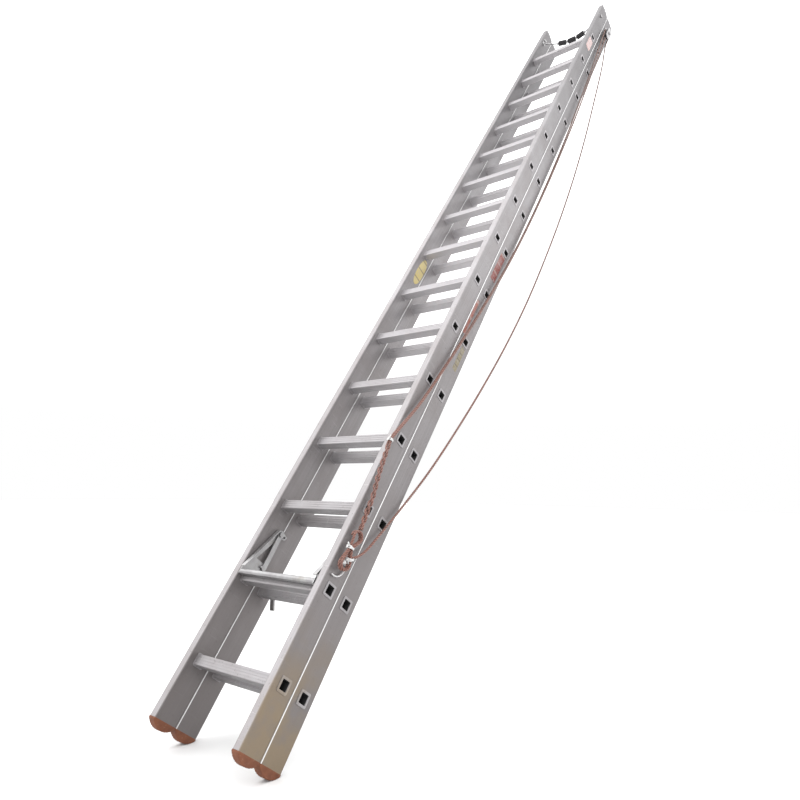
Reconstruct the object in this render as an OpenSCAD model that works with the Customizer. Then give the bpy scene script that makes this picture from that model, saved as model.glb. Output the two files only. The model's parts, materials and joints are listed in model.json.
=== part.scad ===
// Two-section rope-operated extension ladder in aluminium.
// The ladder is drawn upright in its own frame: x across, y from the climbing side to the rear,
// z up the stiles from their lower cut ends. lean() then leans it back onto its base feet.

/* [Overall] */
// Angle between the stiles and the vertical
lean_angle = 35; // [10:1:40]
// Width over the outer faces of the stiles
ladder_w = 362; // [330:1:420]
// Distance from rung to rung
rung_pitch = 250; // [240:5:280]
// Number of rungs in each section
rung_count = 15; // [15:1:15]
// Height of the lowest rung above the cut end of the stile
first_rung_z = 163; // [140:1:200]
// Length of stile above the highest rung
stile_above = 329; // [320:1:400]

/* [Stiles] */
// Thickness of a stile across the ladder
stile_t = 25; // [24:0.5:30]
// Depth of a stile from front to rear
stile_d = 77; // [74:0.5:85]
// Wall of the stile section
stile_wall = 2; // [1.6:0.1:2.5]
// Radius of the stile's rounded edges
stile_edge_r = 5; // [1:0.5:6]
// Sliding gap between the two sections
section_gap = 0.4; // [0.3:0.05:0.8]

/* [Rungs] */
// Side of the square rung
rung_s = 30; // [28:0.5:34]
// Wall of the rung tube
rung_wall = 2.5; // [1.6:0.1:2.5]
// Grooves in each face of a rung
groove_count = 3; // [1:1:4]

/* [Feet and caps] */
// Radius of the crowned sole
sole_r = 50; // [46:1:60]
// Height of the straight collar between the stile and the crown
collar_h = 4; // [2:0.5:8]
// How far the foot plugs into the stile
plug_h = 30; // [15:1:60]

/* [Latch] */
// Diameter of the cross tube
cross_tube_d = 17; // [14:1:22]
// Length of a pawl from its pivot to its tip
pawl_len = 122; // [110:1:130]
// Width of a pawl's flat bar
pawl_w = 16; // [12:1:20]

/* [Pulley] */
// Outer diameter of the sheave
sheave_d = 54; // [50:1:60]
// Width of the sheave
sheave_w = 14; // [12:0.5:16]
// Height of the sheave's axle
sheave_z = 3850; // [3800:1:3880]

/* [Pole rest] */
// Diameter of the bowed rod
pole_rod_d = 8; // [7:0.5:10]
// Radius of the rod's bow
pole_bow_r = 290; // [250:1:400]
// Diameter of a rubber roller
roller_d = 27; // [24:1:36]
// Length of a rubber roller
roller_l = 41; // [36:1:44]

/* [Rope] */
// Diameter of the rope
rope_d = 8; // [6:0.5:10]

/* [Hidden] */
$fn = 48;
stile_len = first_rung_z + (rung_count - 1) * rung_pitch + stile_above;
half_w = ladder_w / 2;
inner_x = half_w - stile_t;
base_y = stile_d + section_gap;          // front face of the base section
fly_rung_y = stile_d / 2;
base_rung_y = base_y + stile_d / 2;
function rung_z(i) = first_rung_z + (i - 1) * rung_pitch;

// Centre of the sole's crown. Its lowest point is where the leaning ladder meets the floor
sole_z = sqrt(pow(sole_r, 2) - pow(stile_d / 2, 2)) - collar_h;
cap_z = 65;                               // the same for a top cap, which has a flatter crown
floor_y = base_rung_y * cos(lean_angle) + sole_z * sin(lean_angle);
floor_z = sole_z * cos(lean_angle) - base_rung_y * sin(lean_angle) - sole_r;

// Sliding guide: a tee rib on the fly runs in a lipped slot in the base
rib_neck_w = 6;
rib_head_w = 13;
rib_head_t = 4;
rib_neck_h = section_gap + stile_wall + 0.6;
slot_mouth_w = 7.4;
slot_w = 14.4;
slot_depth = 8;
rib_start_z = 12;

rim_s = rung_s + 7;                       // bright swaged rim round a rung's open end
rim_t = 1.6;
bead_s = rung_s + 5;                      // bead against the stile's inner wall
bead_t = 2;

// Latch: its points are y and z beside the second rung of the fly
latch_z = rung_z(2);
cross_y = cross_tube_d / 2;
cross_z = latch_z + 5;
apex_y = 65;
apex_z = latch_z + 164;
cheek_t = 3;
cheek_r = 13;
cheek_x = inner_x - 6;                    // inner face of the side cheek
pawl_t = 5;
pawl_x = cheek_x - 1 - pawl_t;            // inner face of the left and right pawls
pin_r = 5;
pin_slack = 0.05;
pawl_rest = 2;                            // how far the parked pawl hangs back from the stiles
pawl_swing = 60;                          // how far it swings out behind the base rungs
peg_r = 3.5;
park_reach = 115;                         // from the pin down to the peg that it parks against
lug_reach = 18;                           // from the pin to the peg that ends its swing

// Pulley on the outer face of the right base stile
sheave_y = 112;
sheave_x = half_w + 15;
rope_wrap_r = sheave_d / 2 - 2.5;         // from the axle to the middle of the rope
groove_slack = 0.8;
axle_r = 5;
bracket_t = 4;
bracket_w = 40;
bracket_gap = 22;

// Pole rest between the tops of the fly stiles
pole_z = sheave_z + 25;
pole_apex_y = 71;
pole_centre_y = pole_apex_y - pole_bow_r;
pole_end_y = pole_centre_y + sqrt(pow(pole_bow_r, 2) - pow(inner_x, 2));
roller_step = 54.5 / pole_bow_r * 180 / PI; // angle from one roller to the next
roller_bore_r = pole_rod_d / 2 + 1.3;

bolt_r = 4;
bolt_head_r = 7.5;
bolt_head_t = 5.3;

// Rope hook under the hank, on the outer face of the right fly stile
hook_y = 20;                              // centre of its arc
hook_z = latch_z + 65;
hook_r = 30;
hook_wire_r = 2.5;
hook_bolt_y = hook_y + hook_r - 2;
hook_bolt_z = hook_z + 34;

// Hank of two turns beside the hook: a loop above and one below the tape at its waist.
// Its points are y and z, to the middle of the rope.
hank_x = 200;
hank_t = 17;
hank_low = [28, 486];
hank_high = [28, 566];
hank_waist = [22, 530];
waist_w = 18;
fold_r = 16;
leg_tie = [36.6, 503];                    // tape on the rear leg of the lower loop
leg_tie_w = 10.6;
leg_tie_turn = 30;

// Routes of the rope, each a list of [x, y, z] in the ladder's own frame
line_x = sheave_x;
hoist_route = [
    [194, 30, 590], [193.5, 27, 613], [192.5, 23, 652], [191.6, 20, 693], [191, 6, 748],
    [191, -3, 796], [191, -15, 868], [191, 33, 1050],
    [191, 66, 1250], [191, 101, 1500], [192, 134, 1800], [193, 152, 2100], [194, 156, 2450],
    [195, 148, 2800], [196, 132, 3150], [196, 111, 3500], [196, 93, 3750]
];
fall_route = [
    [196, 141, 3760], [197, 180, 3600], [198, 230, 3300], [199, 274, 3000], [199, 306, 2700],
    [199, 324, 2400], [198, 330, 2100], [198, 325, 1850], [197, 307, 1600], [196, 276, 1350],
    [195, 234, 1100], [194, 192, 900], [193, 150, 750], [193, 108, 618],
    [197, 84, 560], [200, 62, 528], [200, 43.2, 511]
];
dead_route = [
    [196, 112, 3805], [203, 113, 3650], [204.6, 122, 3400], [204.4, 140, 3050], [203.4, 150, 2750],
    [202.6, 154, 2450], [201, 149, 2100], [200.4, 131, 1800], [199.6, 98, 1500], [199.4, 63, 1250],
    [199.4, 30, 1050], [199.4, -15, 868], [199.4, -5, 796], [199.4, 4, 748], [200, 17, 693],
    [201, 20.5, 652], [202, 27, 613], [202.3, 30, 591]
];
wrap_steps = 9;
wrap_route = [for (i = [0:wrap_steps]) let (a = 180 * i / wrap_steps)
    [line_x, sheave_y - rope_wrap_r * cos(a), sheave_z + rope_wrap_r * sin(a)]];
line_route = concat(hoist_route, wrap_route, fall_route);
tie_z = 868;

function two(i) = i < 10 ? str("0", i) : str(i);
rung_numbers = [for (i = [1:rung_count]) two(i)];
sides = ["left", "right"];

aluminium = "Gainsboro";
zinc = "DarkGray";
rope_colour = "Peru";

// ---------------------------------------------------------------- helpers

// Leans the upright ladder back and sets its base feet on the floor at the origin
module lean() {
    translate([0, -floor_y, -floor_z]) rotate([-lean_angle, 0, 0]) children();
}

// s is -1 for the left side and 1 for the right
function side_sign(s) = s == "left" ? -1 : 1;

module rounded_rect(w, h, r) {
    square([w - 2 * r, h], center = true);
    square([w, h - 2 * r], center = true);
    for (x = [-1, 1], y = [-1, 1])
        translate([x * (w / 2 - r), y * (h / 2 - r)]) circle(r);
}

// Draws a y-z outline and gives it a thickness from x upwards
module across(x, t) {
    translate([x, 0, 0]) rotate([90, 0, 90]) linear_extrude(t) children();
}

// A round bar along x, from x0 to x1
module bar_x(x0, x1, y, z, r) {
    translate([x0, y, z]) rotate([0, 90, 0]) cylinder(h = x1 - x0, r = r);
}

// A bolt head or nut, hexagonal, standing outwards along x
module hex_x(x, y, z, t) {
    translate([x, y, z]) rotate([0, 90, 0]) cylinder(h = t, r = bolt_head_r, $fn = 6);
}

function unit(v) = v / norm(v);
function ring_dir(pts, i) = unit(pts[min(i + 1, len(pts) - 1)] - pts[max(i - 1, 0)]);

// Round cord of radius r swept along points with n sides
module cord(pts, r, n = 8) {
    rings = [for (i = [0:len(pts) - 1])
        let (t = ring_dir(pts, i), a = unit(cross([1, 0, 0], t)), b = cross(t, a))
        for (k = [0:n - 1]) pts[i] + r * (cos(360 * k / n) * a + sin(360 * k / n) * b)];
    last = len(pts) - 1;
    walls = [for (i = [0:last - 1], k = [0:n - 1])
        [i * n + k, i * n + (k + 1) % n, (i + 1) * n + (k + 1) % n, (i + 1) * n + k]];
    polyhedron(rings, concat(walls,
        [[for (k = [n - 1:-1:0]) k]], [[for (k = [0:n - 1]) last * n + k]]));
}

// ---------------------------------------------------------------- stiles

module fly_profile() {
    wall = stile_wall;
    translate([0, stile_d / 2]) difference() {
        rounded_rect(stile_t, stile_d, stile_edge_r);
        rounded_rect(stile_t - 2 * wall, stile_d - 2 * wall, stile_edge_r - wall);
    }
}

module rib_profile() {
    translate([-rib_neck_w / 2, stile_d - 0.5]) square([rib_neck_w, rib_neck_h + 0.6]);
    translate([-rib_head_w / 2, stile_d + rib_neck_h]) square([rib_head_w, rib_head_t]);
}

module base_profile() {
    wall = stile_wall;
    cavity_d = stile_d - slot_depth - 2 * wall;
    difference() {
        translate([0, stile_d / 2]) rounded_rect(stile_t, stile_d, stile_edge_r);
        translate([0, slot_depth + wall + cavity_d / 2])
            rounded_rect(stile_t - 2 * wall, cavity_d, stile_edge_r - wall);
        translate([-slot_w / 2, wall]) square([slot_w, slot_depth - wall]);
        translate([-slot_mouth_w / 2, -1]) square([slot_mouth_w, wall + 2]);
    }
}

// Square openings through both walls for the rungs
module rung_openings(y) {
    clear = rung_s + 0.4;
    for (i = [1:rung_count])
        translate([0, y, rung_z(i)]) cube([ladder_w + 10, clear, clear], center = true);
}

module fly_stile(side) {
    s = side_sign(side);
    color(aluminium) lean() difference() {
        translate([s * (half_w - stile_t / 2), 0, 0]) {
            linear_extrude(stile_len) fly_profile();
            translate([0, 0, rib_start_z]) linear_extrude(stile_len - rib_start_z) rib_profile();
        }
        rung_openings(fly_rung_y);
        bar_x(s * half_w - stile_t - 3, s * half_w + stile_t + 3, pole_end_y, pole_bolt_z, bolt_r + 0.2);
        if (s > 0) bar_x(half_w - stile_wall - 1, half_w + 1, hook_bolt_y, hook_bolt_z, bolt_r + 0.2);
    }
}

module base_stile(side) {
    s = side_sign(side);
    color(aluminium) lean() difference() {
        translate([s * (half_w - stile_t / 2), base_y, 0]) linear_extrude(stile_len) base_profile();
        rung_openings(base_rung_y);
        if (s > 0) for (z = bracket_bolt_z)
            bar_x(half_w - stile_wall - 1, half_w + 1, sheave_y, z, bolt_r + 0.2);
    }
}

// ---------------------------------------------------------------- rungs

module rung_outline() {
    groove_step = rung_s / (groove_count + 1);
    difference() {
        rounded_rect(rung_s, rung_s, 3);
        for (a = [0, 90, 180, 270], g = [1:groove_count])
            rotate(a) translate([g * groove_step - rung_s / 2, rung_s / 2])
                square([2, 1.4], center = true);
    }
}

module rung(y, z) {
    end_x = half_w + rim_t;
    color(aluminium) lean() translate([0, y, z]) difference() {
        union() {
            across(-end_x, 2 * end_x) rung_outline();
            for (s = [-1, 1]) {
                across(s * (half_w + rim_t / 2) - rim_t / 2, rim_t) rounded_rect(rim_s, rim_s, 4);
                across(s * (inner_x - bead_t / 2) - bead_t / 2, bead_t)
                    rounded_rect(bead_s, bead_s, 4);
            }
        }
        across(-end_x - 1, 2 * end_x + 2)
            rounded_rect(rung_s - 2 * rung_wall, rung_s - 2 * rung_wall, 1.5);
    }
}

// ---------------------------------------------------------------- feet

// Closes the lower end of a stile: a collar with a crowned sole, and a plug inside the stile
module end_piece(side, y, crown_z, plug_from) {
    wall = stile_wall;
    plug_d = stile_d - wall - 1 - plug_from;
    translate([side_sign(side) * (half_w - stile_t / 2), y, 0]) {
        intersection() {
            translate([0, stile_d / 2, crown_z]) rotate([0, 90, 0])
                cylinder(h = stile_t + 1, center = true,
                    r = sqrt(pow(crown_z + collar_h, 2) + pow(stile_d / 2, 2)));
            translate([0, stile_d / 2, -sole_r]) linear_extrude(sole_r)
                rounded_rect(stile_t, stile_d, stile_edge_r);
        }
        translate([0, plug_from + plug_d / 2, -1]) linear_extrude(plug_h + 1)
            rounded_rect(stile_t - 2 * wall - 0.6, plug_d, stile_edge_r - wall);
    }
}

fly_plug_from = stile_wall + 1;
base_plug_from = slot_depth + stile_wall + 1;

module foot(side, y, plug_from) {
    color("Sienna") lean() end_piece(side, y, sole_z, plug_from);
}

// The same, flatter and in grey, on the upper ends of a section's stiles
module caps(y, plug_from) {
    color("Silver") lean() translate([0, 0, stile_len]) mirror([0, 0, 1])
        for (s = sides) end_piece(s, y, cap_z, plug_from);
}

// The slot stays open, for the fly's rib runs out through it
module base_caps() {
    slot = slot_w + 1;
    difference() {
        caps(base_y, base_plug_from);
        lean() for (s = [-1, 1])
            translate([s * (half_w - stile_t / 2) - slot / 2, base_y - 1, stile_len - 1])
                cube([slot, slot_depth + 2, 2 * sole_r]);
    }
}

// ---------------------------------------------------------------- latch

// A point beside the pawl: down from its pin by d and behind its middle line by b, swung by turn
function beside_pawl(turn, d, b) = let (a = pawl_rest + turn)
    [apex_y + d * sin(a) + b * cos(a), apex_z - d * cos(a) + b * sin(a)];
park_peg = beside_pawl(0, park_reach, -pawl_w / 2 - peg_r - 0.1);
lug_peg = beside_pawl(pawl_swing, lug_reach, pawl_w / 2 + peg_r + 0.1);

// Triangular cheek standing on the rung, with its front edge leaning to the apex
module cheek_outline() {
    difference() {
        union() {
            polygon([
                [cross_y - 8, cross_z - 8], [cross_y + 8, cross_z - 8],
                [cross_y + 8, latch_z + 16.5], [74, latch_z + 16.5], [apex_y + 12, apex_z],
                [apex_y - 12, apex_z + 5], [cross_y - 8, cross_z + 14]
            ]);
            translate([apex_y, apex_z]) circle(cheek_r);
            translate(lug_peg) circle(peg_r + 4);
            polygon([[apex_y, apex_z - cheek_r], [apex_y, apex_z + cheek_r],
                lug_peg + [0, peg_r + 4], lug_peg - [0, peg_r + 4]]);
        }
        translate([apex_y, apex_z]) circle(pin_r + pin_slack);
        polygon([
            [cross_y + 22, latch_z + 62], [apex_y - 1, latch_z + 62], [apex_y - 6, apex_z - 32]
        ]);
    }
}

// The bright folded flange along the cheek's front edge
module flange_outline() {
    polygon([
        [cross_y - 8, cross_z + 14], [apex_y - 12, apex_z + 5],
        [apex_y - 15, apex_z + 6], [cross_y - 11, cross_z + 14]
    ]);
}

module latch_frame() {
    flange_w = 14;
    color(zinc) lean() {
        difference() {
            bar_x(-cheek_x, cheek_x, cross_y, cross_z, cross_tube_d / 2);
            bar_x(-cheek_x - 1, cheek_x + 1, cross_y, cross_z, cross_tube_d / 2 - 2);
        }
        for (s = [-1, 1]) {
            across(s * (cheek_x + cheek_t / 2) - cheek_t / 2, cheek_t) cheek_outline();
            across(s * (cheek_x + cheek_t - flange_w / 2) - flange_w / 2, flange_w)
                flange_outline();
            // pegs that the pawl stops against, parked and swung out
            for (peg = [park_peg, lug_peg])
                bar_x(s * (cheek_x - 3) - 4, s * (cheek_x - 3) + 4, peg[0], peg[1], peg_r);
        }
    }
}

// Bosses that carry the latch on the stiles' inner walls, and the pins of its pawls
module latch_pins() {
    boss_t = inner_x - cheek_x - cheek_t;
    for (s = [-1, 1]) {
        boss_x = s * (inner_x - boss_t / 2) - boss_t / 2;
        difference() {
            bar_x(boss_x, boss_x + boss_t, cross_y + 1, cross_z + 14, 7.5);
            bar_x(boss_x - 1, boss_x + boss_t + 1, cross_y + 1, cross_z + 14, 2);
        }
        x0 = pawl_x - 2;
        x1 = inner_x - 1;
        bar_x(min(s * x0, s * x1), max(s * x0, s * x1), apex_y, apex_z, pin_r);
        bar_x(s * (x0 - 1.5) - 1.5, s * (x0 - 1.5) + 1.5, apex_y, apex_z, pin_r + 3.5);
    }
}

// Parks along the stiles in front of the base rungs, and swings back between them
module latch_pawl(side) {
    s = side_sign(side);
    color(zinc) lean() translate([0, apex_y, apex_z]) rotate([pawl_rest, 0, 0])
        difference() {
            x0 = s * (pawl_x + pawl_t / 2) - pawl_t / 2;
            across(x0, pawl_t) {
                circle(cheek_r - 1);
                translate([-pawl_w / 2, pawl_w / 2 - pawl_len])
                    square([pawl_w, pawl_len - pawl_w / 2]);
                translate([0, pawl_w / 2 - pawl_len]) circle(pawl_w / 2);
            }
            bar_x(-half_w, half_w, 0, 0, pin_r + pin_slack);
        }
}

// Steel bar bolted behind the second base rung, its lower end bent plumb
module base_stop() {
    rear_y = base_rung_y + rung_s / 2;
    bar_w = 16;
    bar_t = 5;
    tail = 33;
    bar_x0 = -129;
    color(zinc) lean() {
        across(bar_x0, bar_w) {
            translate([rear_y, latch_z - 15]) square([bar_t, 28]);
            translate([rear_y, latch_z - 12]) rotate(lean_angle) translate([0, -tail])
                square([bar_t, tail]);
        }
        translate([bar_x0 + bar_w / 2, rear_y + bar_t, latch_z + 4]) rotate([-90, 0, 0])
            cylinder(h = 4, r = 6, $fn = 6);
    }
}

// ---------------------------------------------------------------- pulley

bracket_bolt_z = [sheave_z - 62, sheave_z + 50];
cheek_outer_x = half_w + bracket_t + bracket_gap;

module bracket_outline(top, bottom) {
    translate([sheave_y, 0]) {
        translate([-bracket_w / 2, bottom]) square([bracket_w, top - bottom]);
        for (z = [top, bottom]) translate([0, z]) circle(bracket_w / 2);
    }
}

module pulley_bracket() {
    color(zinc) lean() {
        difference() {
            across(half_w, bracket_t) bracket_outline(sheave_z + 46, sheave_z - 58);
            for (z = bracket_bolt_z) bar_x(half_w - 1, cheek_outer_x, sheave_y, z, bolt_r + 0.2);
            bar_x(half_w - 1, cheek_outer_x, sheave_y, sheave_z, axle_r + pin_slack);
        }
        difference() {
            across(cheek_outer_x, 3) bracket_outline(sheave_z + 20, sheave_z - 34);
            bar_x(half_w, cheek_outer_x + 5, sheave_y, sheave_z, axle_r + pin_slack);
        }
        // bridge over the sheave, and the pin that the rope's dead end is tied to
        translate([half_w, sheave_y - bracket_w / 2 + 6, sheave_z + 34])
            cube([bracket_t + bracket_gap + 3, bracket_w - 12, 3]);
        bar_x(half_w + 1, cheek_outer_x + 1, sheave_y, sheave_z - 40, 3);
    }
}

module pulley_sheave() {
    rim_r = sheave_d / 2;
    groove_r = rope_d / 2 + groove_slack;
    color("DimGray") lean() translate([sheave_x, sheave_y, sheave_z]) rotate([0, 90, 0])
        rotate_extrude() difference() {
            translate([axle_r + pin_slack, -sheave_w / 2])
                square([rim_r - axle_r - pin_slack, sheave_w]);
            translate([rope_wrap_r, 0]) circle(groove_r);
            translate([rope_wrap_r, -groove_r]) square([rim_r, 2 * groove_r]);
        }
}

// The sheave's axle and the bracket's two bolts
module pulley_fasteners() {
    color(zinc) lean() {
        bar_x(half_w, cheek_outer_x + 3, sheave_y, sheave_z, axle_r);
        bar_x(cheek_outer_x + 3, cheek_outer_x + 7, sheave_y, sheave_z, axle_r + 4);
        for (z = bracket_bolt_z) wall_bolt(half_w + bracket_t, sheave_y, z, bracket_t);
    }
}

// A bolt with its head at x on the outside, gripping the outer wall of a stile
module wall_bolt(x, y, z, grip) {
    nut_x = x - grip - stile_wall - bolt_head_t;
    hex_x(x, y, z, bolt_head_t);
    bar_x(nut_x - 2, x + 1, y, z, bolt_r);
    hex_x(nut_x, y, z, bolt_head_t);
}

// ---------------------------------------------------------------- pole rest

pole_bolt_z = pole_z + 24;
tab_t = 3;

module pole_rest_rod() {
    span = 2 * asin(inner_x / pole_bow_r);
    color(zinc) lean() {
        intersection() {
            translate([0, pole_centre_y, pole_z]) rotate(90 - span / 2 - 1)
                rotate_extrude(angle = span + 2, $fn = 96) translate([pole_bow_r, 0])
                    circle(pole_rod_d / 2);
            cube([2 * (inner_x - tab_t + 1), 400, 3 * stile_len], center = true);
        }
        for (s = [-1, 1]) difference() {
            across(s * (inner_x - tab_t / 2) - tab_t / 2, tab_t) translate([pole_end_y, 0]) {
                translate([-11, pole_z - 8]) square([22, pole_bolt_z - pole_z + 8]);
                translate([0, pole_z - 8]) circle(11);
                translate([0, pole_bolt_z]) circle(11);
            }
            bar_x(-half_w, half_w, pole_end_y, pole_bolt_z, bolt_r + 0.2);
        }
        for (k = [-1.5, -0.5, 0.5, 1.5])
            on_bow(k * roller_step) rotate([0, 90, 0])
                cylinder(h = 4, r = pole_rod_d / 2 + 3, center = true);
    }
}

// Puts a piece on the bow, turned to lie along it
module on_bow(angle) {
    translate([0, pole_centre_y, pole_z]) rotate(-angle) translate([0, pole_bow_r, 0]) children();
}

module pole_roller(index) {
    rib_step = roller_l / 8;
    rib_w = 2.4;
    first_rib = -roller_l / 2 + rib_step / 2;
    color("Black") lean() on_bow(index * roller_step) rotate([0, 90, 0]) difference() {
        cylinder(h = roller_l, r = roller_d / 2, center = true);
        cylinder(h = roller_l + 2, r = roller_bore_r, center = true);
        for (k = [0:7]) translate([0, 0, first_rib + k * rib_step]) difference() {
            cylinder(h = rib_w, r = roller_d, center = true);
            cylinder(h = rib_w + 1, r = roller_d / 2 - 1.8, center = true);
        }
    }
}

// The latch's pins and bosses, a bolt through each stile for the pole rest, and the hook's bolt
module fly_fasteners() {
    color(zinc) lean() {
        latch_pins();
        for (s = [-1, 1]) {
            x_out = s * half_w;
            x_in = s * (inner_x - tab_t);
            head_out = s > 0 ? x_out : x_out - bolt_head_t;
            head_in = s > 0 ? x_in - bolt_head_t : x_in;
            hex_x(head_out, pole_end_y, pole_bolt_z, bolt_head_t);
            hex_x(head_in, pole_end_y, pole_bolt_z, bolt_head_t);
            bar_x(min(x_out, x_in) - 1, max(x_out, x_in) + 1, pole_end_y, pole_bolt_z, bolt_r);
        }
        wall_bolt(half_w + tab_t, hook_bolt_y, hook_bolt_z, tab_t);
    }
}

// ---------------------------------------------------------------- rope and its fittings

// A plate on the stile with a round wire hook below it, open to the front
module rope_hook() {
    wire_x = half_w + tab_t + hook_wire_r + 0.5;
    leg_h = 16;
    leg_y = hook_y + hook_r;
    color(zinc) lean() {
        difference() {
            across(half_w, tab_t) {
                translate([hook_bolt_y - 11, hook_z + leg_h - 5])
                    square([22, hook_bolt_z - hook_z - leg_h + 5]);
                translate([hook_bolt_y, hook_bolt_z]) circle(11);
            }
            bar_x(half_w - 1, half_w + 9, hook_bolt_y, hook_bolt_z, bolt_r + 0.2);
        }
        translate([wire_x, hook_y, hook_z]) {
            rotate([90, 0, 90]) rotate(-100) rotate_extrude(angle = 100)
                translate([hook_r, 0]) circle(hook_wire_r);
            translate([0, hook_r, -1]) cylinder(h = leg_h + 1, r = hook_wire_r);
        }
        bar_x(half_w + 1, wire_x + hook_wire_r + 1, leg_y, hook_z + leg_h, 3.5);
    }
}

module rope_line() {
    color(rope_colour) lean() cord(line_route, rope_d / 2);
}

module rope_dead_strand() {
    color(rope_colour) lean() cord(dead_route, rope_d / 2);
}

// The rope's spare length, wound into a hank that is gathered at its waist
module rope_hank() {
    outer = fold_r + rope_d / 2;
    inner = fold_r - rope_d / 2;
    half = waist_w / 2;
    above = hank_waist + [1, 14];
    below = hank_waist + [1, -14];
    front_low = hank_waist + [-half, -6];
    front_high = hank_waist + [-half, 6];
    rear_low = hank_waist + [half, -6];
    rear_high = hank_waist + [half, 6];
    color(rope_colour) lean() across(hank_x - hank_t / 2, hank_t) difference() {
        union() {
            translate(hank_low) circle(outer);
            translate(hank_high) circle(outer);
            polygon([
                touch(hank_low, outer, front_low, 1), front_low, front_high,
                touch(hank_high, outer, front_high, -1), hank_high,
                touch(hank_high, outer, rear_high, 1), rear_high, rear_low,
                touch(hank_low, outer, rear_low, -1), hank_low
            ]);
        }
        for (loop = [[hank_low, below], [hank_high, above]]) {
            translate(loop[0]) circle(inner);
            polygon([touch(loop[0], inner, loop[1], 1), loop[1],
                touch(loop[0], inner, loop[1], -1), loop[0]]);
        }
    }
}

// Where a line from point p touches the circle of radius r round c, on one side or the other
function touch(c, r, p, side) =
    let (d = p - c, a = atan2(d[1], d[0]) + side * acos(r / norm(d))) c + r * [cos(a), sin(a)];

// White tape ring with a clear opening t across and w from front to rear
module tape_ring(t, w, h) {
    difference() {
        linear_extrude(h, center = true) rounded_rect(t + 3, w + 3, 2);
        linear_extrude(h + 2, center = true) square([t, w], center = true);
    }
}

module rope_tie_upper() {
    color("White") lean() translate([195.2, -15, tie_z]) tape_ring(21, 19, 16);
}

module rope_ties_lower() {
    color("White") lean() {
        translate([hank_x, hank_waist[0], hank_waist[1]])
            tape_ring(hank_t + 0.4, waist_w + 0.4, 11);
        translate([hank_x, leg_tie[0], leg_tie[1]]) rotate([leg_tie_turn, 0, 0])
            tape_ring(hank_t + 0.4, leg_tie_w + 0.4, 11);
    }
}

// ---------------------------------------------------------------- stickers

sticker_t = 0.3;

module sticker(x, y, z, w, h) {
    across(x, sticker_t) translate([y, z]) rounded_rect(w, h, 3);
}

module base_stickers() {
    lean() {
        color("FireBrick") sticker(half_w, base_y + 32, 1815, 32, 146);
        color("FireBrick") sticker(half_w, base_y + 12, 1518, 14, 170);
        color("Khaki") sticker(half_w, base_y + 42.6, 1336, 22, 108);
    }
}

module fly_stickers() {
    lean() {
        color("Gold") sticker(-inner_x, 50.5, 1821, 42, 140);
        color("IndianRed") sticker(half_w, 36, 3585, 40, 100);
    }
}

// ---------------------------------------------------------------- drawing

for (s = sides) {
    base_stile(s);
    fly_stile(s);
    foot(s, base_y, base_plug_from);
    foot(s, 0, fly_plug_from);
    latch_pawl(s);
}
for (i = [1:rung_count]) {
    rung(base_rung_y, rung_z(i));
    rung(fly_rung_y, rung_z(i));
}
pole_roller(-1);  // pole_roller_left
pole_roller(0);  // pole_roller_middle
pole_roller(1);  // pole_roller_right
latch_frame();
fly_fasteners();
base_caps();
caps(0, fly_plug_from);  // fly_caps
base_stop();
pulley_bracket();
pulley_sheave();
pulley_fasteners();
rope_hook();
pole_rest_rod();
rope_line();
rope_dead_strand();
rope_hank();
rope_tie_upper();
rope_ties_lower();
base_stickers();
fly_stickers();
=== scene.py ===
"""Looks of a two-section rope-operated extension ladder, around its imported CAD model.

Places are given in the ladder's own frame, as in the CAD source: x across, y from the climbing
side to the rear, z up the stiles from their cut ends, in millimetres. at() carries them into the
frame, where the ladder leans back on its base feet, in metres.
"""

import json
import math
import random

import bmesh
import bpy
from mathutils import Matrix, Vector


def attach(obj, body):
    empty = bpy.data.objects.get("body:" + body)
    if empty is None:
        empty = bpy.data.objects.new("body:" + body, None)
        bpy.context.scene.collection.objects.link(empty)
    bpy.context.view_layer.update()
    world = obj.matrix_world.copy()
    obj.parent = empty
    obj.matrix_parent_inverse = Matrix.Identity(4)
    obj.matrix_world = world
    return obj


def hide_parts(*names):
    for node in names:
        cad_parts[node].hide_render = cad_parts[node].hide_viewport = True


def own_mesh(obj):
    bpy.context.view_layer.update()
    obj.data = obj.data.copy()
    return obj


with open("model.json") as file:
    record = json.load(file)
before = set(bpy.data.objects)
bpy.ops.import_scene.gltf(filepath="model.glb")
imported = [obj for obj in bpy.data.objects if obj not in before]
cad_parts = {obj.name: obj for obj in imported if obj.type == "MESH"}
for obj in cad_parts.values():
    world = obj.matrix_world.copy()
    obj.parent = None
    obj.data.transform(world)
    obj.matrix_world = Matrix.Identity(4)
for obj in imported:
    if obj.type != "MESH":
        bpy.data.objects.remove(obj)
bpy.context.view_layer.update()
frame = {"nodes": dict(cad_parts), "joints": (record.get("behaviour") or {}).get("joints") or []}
random.seed(11)

# ---------------------------------------------------------------- the ladder's own frame

MM = 0.001
STILE_D = 77  # a stile from its front to its rear face
STILE_W = 25  # and across
BASE_Y = STILE_D + 0.4  # the front of the base stiles, behind the fly's
HALF_W = 181  # from the middle of the ladder to a stile's outer face
INNER_X = HALF_W - STILE_W
SOLE_R = 50  # radius of the crowned soles
COLLAR_H = 4  # height of the foot's straight collar below the stile

slide = next(j for j in frame["joints"] if j["name"] == "fly_slide")
LEAN = math.atan2(slide["axis"][1], slide["axis"][2])
UNLEAN = Matrix.Rotation(LEAN, 4, "X")
SOLE_Z = math.sqrt(SOLE_R**2 - (STILE_D / 2) ** 2) - COLLAR_H
SOLE_Y = BASE_Y + STILE_D / 2
TO_ROW = (
    Matrix.Translation((0, 0, SOLE_R * MM))
    @ Matrix.Rotation(-LEAN, 4, "X")
    @ Matrix.Translation((0, -SOLE_Y * MM, -SOLE_Z * MM))
    @ Matrix.Scale(MM, 4)
)
UP_STILE = Vector(slide["axis"])


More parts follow.
